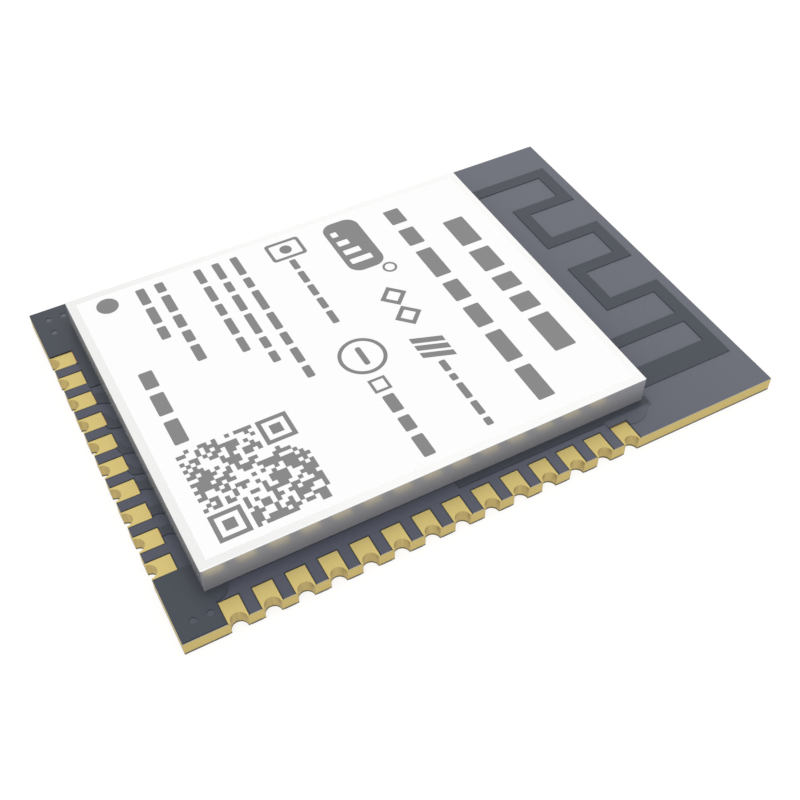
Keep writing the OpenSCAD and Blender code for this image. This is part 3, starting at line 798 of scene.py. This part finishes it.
# Left end of the small print, and the printed lines from the antenna end down
MARGIN = -6.8
ROWS = [
    # Two headings
    Row(-4.5, 7.55, 9.1, 1.0, 5, 0.45),
    Row(-6.4, 5.4, 12.9, 0.75, 7, 0.45),
    # Beside the marks
    Row(2.85, 2.76, 3.8, 0.3, 5, 0.2),
    Row(-5.45, 0.08, 4.4, 0.3, 5, 0.2),
    Row(3.45, 0.02, 3.4, 0.5, 3, 0.3),
    # Small print
    Row(MARGIN, -2.12, 8.0, 0.34, 7, 0.25),
    Row(MARGIN, -2.96, 6.6, 0.34, 6, 0.25),
    Row(MARGIN, -3.80, 5.5, 0.34, 5, 0.25),
    Row(MARGIN, -5.54, 5.1, 0.4, 5, 0.25),
    Row(MARGIN, -6.37, 3.3, 0.4, 3, 0.25),
    # Above the block pattern's foot
    Row(-2.15, -7.82, 4.1, 0.58, 3, 0.35),
]


def mark_shapes(middle):
    """The plain marks between the lines of print, as outlines with their holes."""
    def at(x, y):
        return (middle[0] + x, middle[1] + y)

    rising_bars = [
        rectangle(at(-6.05 + 0.65 * i, 2.42 + 0.12 * i), 0.34, 0.3 + 0.24 * i, 0.05)
        for i in range(4)]
    badge = [rectangle(at(-5.1, 2.87), 3.4, 1.68, 0.55), *rising_bars]
    small_ring = [polygon(at(-3.03, 3.6), 0.32, 32), polygon(at(-3.03, 3.6), 0.22, 32)]
    lozenges = [
        [polygon(at(x, 2.87), 0.62, 4), polygon(at(x, 2.87), 0.36, 4)] for x in (-1.35, -0.05)]
    slanted = [
        [[at(x, 2.2), at(x + 0.3, 2.2), at(x + 0.75, 3.5), at(x + 0.45, 3.5)]]
        for x in (1.2, 1.65, 2.1)]
    framed_disc = [
        [rectangle(at(-6.2, 0.13), 1.2, 1.6, 0.15), rectangle(at(-6.2, 0.13), 0.9, 1.3, 0.08)],
        [polygon(at(-6.2, 0.13), 0.27, 32)]]
    ring = [polygon(at(1.14, 0.13), 1.0, 64), polygon(at(1.14, 0.13), 0.84, 64)]
    ring_bar = [rectangle(at(1.14, 0.13), 1.05, 0.24, 0.1)]
    small_box = [rectangle(at(2.83, 0.02), 0.74, 0.74), rectangle(at(2.83, 0.02), 0.5, 0.5)]
    first_contact_dot = [polygon(at(-6.47, -7.87), 0.46, 48)]
    return [
        badge, small_ring, *lozenges, *slanted, *framed_disc, ring, ring_bar, small_box,
        first_contact_dot]


# The block pattern, in millimetres from the can's middle, and the cells of its clear corners
CODE_MIDDLE = (4.56, -6.06)
CODE_SIDE = 4.5
CODE_CORNER_CELLS = 8
CODE_INKED_SHARE = 0.52


def code_corner_shapes(middle, cells):
    """The two hollow squares at opposite corners of the block pattern."""
    cell = CODE_SIDE / cells
    reach = CODE_SIDE / 2 - 3.5 * cell
    shapes = []
    for side in (-1, 1):
        hub = (middle[0] + CODE_MIDDLE[0] + side * reach, middle[1] + CODE_MIDDLE[1] - side * reach)
        shapes.append([rectangle(hub, 7 * cell, 7 * cell), rectangle(hub, 5 * cell, 5 * cell)])
        shapes.append([rectangle(hub, 2.6 * cell, 2.6 * cell)])
    return shapes


# ---- Operators -------------------------------------------------------------------------


class MODULE_OT_finish_board(bpy.types.Operator):
    """Give the laminate and both solder masks their finish"""

    bl_idname = "module.finish_board"
    bl_label = "Finish Board"

    def execute(self, context):
        board = context.scene.module_board
        dress(laminate_finish(board), "laminate")
        dress(mask_finish(board), "top_solder_mask")
        dress(under_mask_finish(board), "bottom_solder_mask")
        return {"FINISHED"}


class MODULE_OT_finish_plating(bpy.types.Operator):
    """Give the contacts, pads, vias and etched copper their finish"""

    bl_idname = "module.finish_plating"
    bl_label = "Finish Plating"

    def execute(self, context):
        board = context.scene.module_board
        dress(gold_finish(board), "ground_pad", *CONTACTS)
        dress(
            copper_finish(board), "antenna_trace", "top_ground_copper", "signal_copper",
            "bottom_ground_copper", "plated_vias")
        return {"FINISHED"}


class MODULE_OT_finish_can(bpy.types.Operator):
    """Give the shield can and its solder their finish"""

    bl_idname = "module.finish_can"
    bl_label = "Finish Can"

    def execute(self, context):
        can = context.scene.module_can
        dress(sheet_finish(can), "shield_can")
        dress(solder_finish(can), "shield_solder")
        return {"FINISHED"}


class MODULE_OT_finish_circuit(bpy.types.Operator):
    """Give the circuit parts below the can their finish"""

    bl_idname = "module.finish_circuit"
    bl_label = "Finish Circuit Parts"

    def execute(self, context):
        dress(moulded_finish(), "radio_chip_body", "flash_chip_body")
        dress(
            plated_finish("tin_plating", "b9babd", 0.4), "radio_chip_leadframe",
            "flash_chip_leadframe", "passive_terminals")
        dress(fired_finish("crystal_ceramic", "5a4a3c", 0.5), "crystal_base")
        dress(plated_finish("crystal_lid_metal", "d8d5c8", 0.28), "crystal_lid")
        dress(fired_finish("capacitor_ceramic", "b59a72", 0.5), "capacitor_bodies")
        dress(fired_finish("resistor_glaze", "2f2f33", 0.3), "resistor_bodies")
        dress(fired_finish("inductor_ceramic", "8b8f98", 0.45), "inductor_bodies")
        return {"FINISHED"}


class MODULE_OT_add_label_field(bpy.types.Operator):
    """Add the white field of the label on the can's top"""

    bl_idname = "module.add_label_field"
    bl_label = "Add Label Field"

    def execute(self, context):
        label = context.scene.module_label
        width = (CAN_HIGH.x - CAN_LOW.x - 2 * label.inset) / MM
        length = (CAN_HIGH.y - CAN_LOW.y - 2 * label.inset) / MM
        middle = (CAN_MIDDLE.x / MM, CAN_MIDDLE.y / MM)
        mesh = slab_mesh(
            "label_field", [[rectangle(middle, width, length, 0.06)]],
            CAN_HIGH.z, CAN_HIGH.z + label.field_thickness)
        new_piece("label_field", mesh, ink_finish("white_ink", label.field))
        return {"FINISHED"}


class MODULE_OT_print_label(bpy.types.Operator):
    """Print the grey lines, marks and block pattern on the label's field"""

    bl_idname = "module.print_label"
    bl_label = "Print Label"

    def execute(self, context):
        label = context.scene.module_label
        ink = ink_finish("grey_ink", label.ink)
        level = CAN_HIGH.z + label.field_thickness
        top = level + label.ink_thickness
        middle = (CAN_MIDDLE.x / MM, CAN_MIDDLE.y / MM)
        rows = grown_mesh("print_rows", page_tree(ROWS), {
            "Middle": (CAN_MIDDLE.x, CAN_MIDDLE.y, level), "Corner": label.corner,
            "Thickness": label.ink_thickness, "Seed": label.seed, "Ink": ink})
        new_piece("print_rows", rows, ink)
        marks = slab_mesh("print_marks", mark_shapes(middle), level, top)
        new_piece("print_marks", marks, ink)
        blocks = grown_mesh("print_blocks", block_tree(), {
            "Middle": (
                CAN_MIDDLE.x + CODE_MIDDLE[0] * MM, CAN_MIDDLE.y + CODE_MIDDLE[1] * MM, level),
            "Side": CODE_SIDE * MM, "Cells": label.cells, "Corner cells": CODE_CORNER_CELLS,
            "Share": CODE_INKED_SHARE, "Thickness": label.ink_thickness, "Seed": label.seed,
            "Ink": ink})
        new_piece("print_blocks", blocks, ink)
        corners = slab_mesh(
            "print_block_corners", code_corner_shapes(middle, label.cells), level, top)
        new_piece("print_block_corners", corners, ink)
        return {"FINISHED"}


class MODULE_OT_build_studio(bpy.types.Operator):
    """Add the pale floor, the soft light and the camera"""

    bl_idname = "module.build_studio"
    bl_label = "Build Studio"

    def execute(self, context):
        studio = context.scene.module_studio
        add_floor(studio)
        add_surroundings(context.scene, studio)
        add_lamp("key_light", studio.key, direction=(0.75, -0.5, 0.9), softness=50)
        add_camera(context.scene, studio)
        context.scene.view_settings.view_transform = "Standard"
        return {"FINISHED"}


# ---- Studio ----------------------------------------------------------------------------


def seen_directly(wire):
    """1 for rays from the camera and for those that metal or glass sends on."""
    rays = wire.node(
        "ShaderNodeLightPath",
        out=("Is Camera Ray", "Is Glossy Ray", "Is Transmission Ray"))
    return wire.maths("MINIMUM", rays[0] + rays[1] + rays[2], 1.0)


# How far the floor lies below the module, and how strongly it glows
FLOOR_DROP = 0.01 * MM
FLOOR_GLOW = 0.74


def add_floor(studio):
    """A white floor just below the module. It glows enough to be seen as white, still takes the
    shadow and is clear from below."""
    mesh = bpy.data.meshes.new("floor")
    half = studio.floor_side / 2
    corners = [(-half, -half), (half, -half), (half, half), (-half, half)]
    mesh.from_pydata([(x, y, -FLOOR_DROP) for x, y in corners], [], [(0, 1, 2, 3)])
    floor = bpy.data.objects.new("floor", mesh)
    bpy.context.scene.collection.objects.link(floor)
    finish = Finish("floor_white", Roughness=1.0, Specular_IOR_Level=0.0)
    wire = finish.wire
    direct = seen_directly(wire)
    finish.set("Base Color", finish.blend(direct, (0.8, 0.8, 0.8), (0.3, 0.3, 0.3)))
    finish.set("Emission Color", finish.blend(direct, (0, 0, 0), (1, 1, 1)))
    finish.set("Emission Strength", FLOOR_GLOW)
    below = wire.node("ShaderNodeNewGeometry", out="Backfacing")
    clear = wire.node("ShaderNodeBsdfTransparent")
    solid = Wire(wire.tree, finish.shader.outputs[0])
    seen = wire.node("ShaderNodeMixShader", None, {0: below, 1: solid, 2: clear})
    wire.feed(wire.tree.nodes["Material Output"].inputs["Surface"], seen)
    mesh.materials.append(finish.material)


def add_surroundings(scene, studio):
    """White surroundings that light the module at the sky's strength."""
    world = bpy.data.worlds.new("surroundings")
    scene.world = world
    world.use_nodes = True
    tree = world.node_tree
    tree.nodes.clear()
    wire = Wire(tree)
    direct = seen_directly(wire)
    strength = direct * (1 - studio.sky) + studio.sky
    light = wire.node("ShaderNodeBackground", None, {"Color": (1, 1, 1, 1), "Strength": strength})
    wire.node("ShaderNodeOutputWorld", None, {"Surface": light})


def add_lamp(name, strength, direction, softness):
    """A distant lamp that shines from that direction, as wide as softness in degrees."""
    lamp = bpy.data.lights.new(name, "SUN")
    lamp.energy = strength
    lamp.angle = math.radians(softness)
    holder = bpy.data.objects.new(name, lamp)
    holder.rotation_euler = Vector(direction).to_track_quat("Z", "Y").to_euler()
    bpy.context.scene.collection.objects.link(holder)


def add_camera(scene, studio):
    """A camera at its place, turned to its target."""
    lens = bpy.data.cameras.new("camera")
    lens.lens = studio.focal_length
    lens.clip_start = 1 * MM
    lens.clip_end = 10
    camera = bpy.data.objects.new("camera", lens)
    camera.location = studio.camera_place
    aim = Vector(studio.camera_target) - Vector(studio.camera_place)
    camera.rotation_euler = aim.to_track_quat("-Z", "Y").to_euler()
    scene.collection.objects.link(camera)
    scene.camera = camera


# ---- Add-on ----------------------------------------------------------------------------


class MODULE_PT_dressing(bpy.types.Panel):
    """Sizes, colours and steps of the module's dressing"""

    bl_label = "Wireless Module"
    bl_idname = "MODULE_PT_dressing"
    bl_space_type = "VIEW_3D"
    bl_region_type = "UI"
    bl_category = "Module"

    def draw(self, context):
        layout = self.layout
        for name in GROUPS:
            group = getattr(context.scene, name)
            box = layout.box()
            for prop in group.bl_rna.properties:
                if prop.identifier not in {"rna_type", "name"}:
                    box.prop(group, prop.identifier)
        for operator in OPERATORS:
            layout.operator(operator.bl_idname)


GROUPS = {
    "module_board": BoardFinish,
    "module_can": CanFinish,
    "module_label": LabelLayout,
    "module_studio": StudioSetup,
}
OPERATORS = [
    MODULE_OT_finish_board,
    MODULE_OT_finish_plating,
    MODULE_OT_finish_can,
    MODULE_OT_finish_circuit,
    MODULE_OT_add_label_field,
    MODULE_OT_print_label,
    MODULE_OT_build_studio,
]


def register():
    for part in [*GROUPS.values(), *OPERATORS, MODULE_PT_dressing]:
        bpy.utils.register_class(part)
    for name, group in GROUPS.items():
        setattr(bpy.types.Scene, name, PointerProperty(type=group))


def unregister():
    for name in GROUPS:
        delattr(bpy.types.Scene, name)
    for part in reversed([*GROUPS.values(), *OPERATORS, MODULE_PT_dressing]):
        bpy.utils.unregister_class(part)


def main():
    """Dresses the module."""
    register()
    for operator in OPERATORS:
        family, name = operator.bl_idname.split(".")
        getattr(getattr(bpy.ops, family), name)()


if __name__ == "__main__":
    main()
